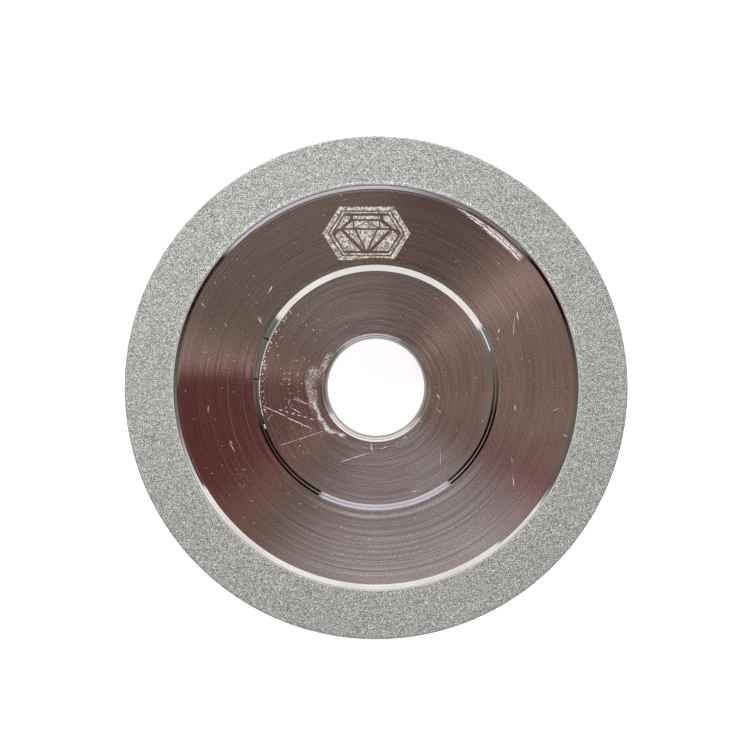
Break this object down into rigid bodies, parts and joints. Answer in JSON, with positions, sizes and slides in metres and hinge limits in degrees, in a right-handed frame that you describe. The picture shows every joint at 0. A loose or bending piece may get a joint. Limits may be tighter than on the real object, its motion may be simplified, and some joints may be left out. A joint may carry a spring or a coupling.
{
  "type": "diamond grinding wheel",
  "caption": "Electroplated diamond grinding wheel: a turned steel dish with a raised flange seat, a shallow trough and a fine grit band round the rim.",
  "frame": {"origin": "middle of the bore, in the plane of the rear seat that the wheel lies on", "axes": "+Z along the wheel's axis, out of the grinding face; +Y towards the maker's mark, +X to its right seen from the front"},
  "size_m": [0.1, 0.1, 0.012],
  "materials": {
    "turned_steel": "mirror-like lathe turning with fine concentric grooves",
    "nickel_plate": "satin electroplated nickel",
    "diamond_grit": "one layer of fine diamond crystals, rough, glinting"
  },
  "bodies": {
    "root": {"wheel_body": "turned_steel", "nickel_bond_plate": "nickel_plate", "front_face_grit": "diamond_grit", "outer_edge_grit": "diamond_grit", "back_edge_grit": "diamond_grit"}
  },
  "joints": []
}
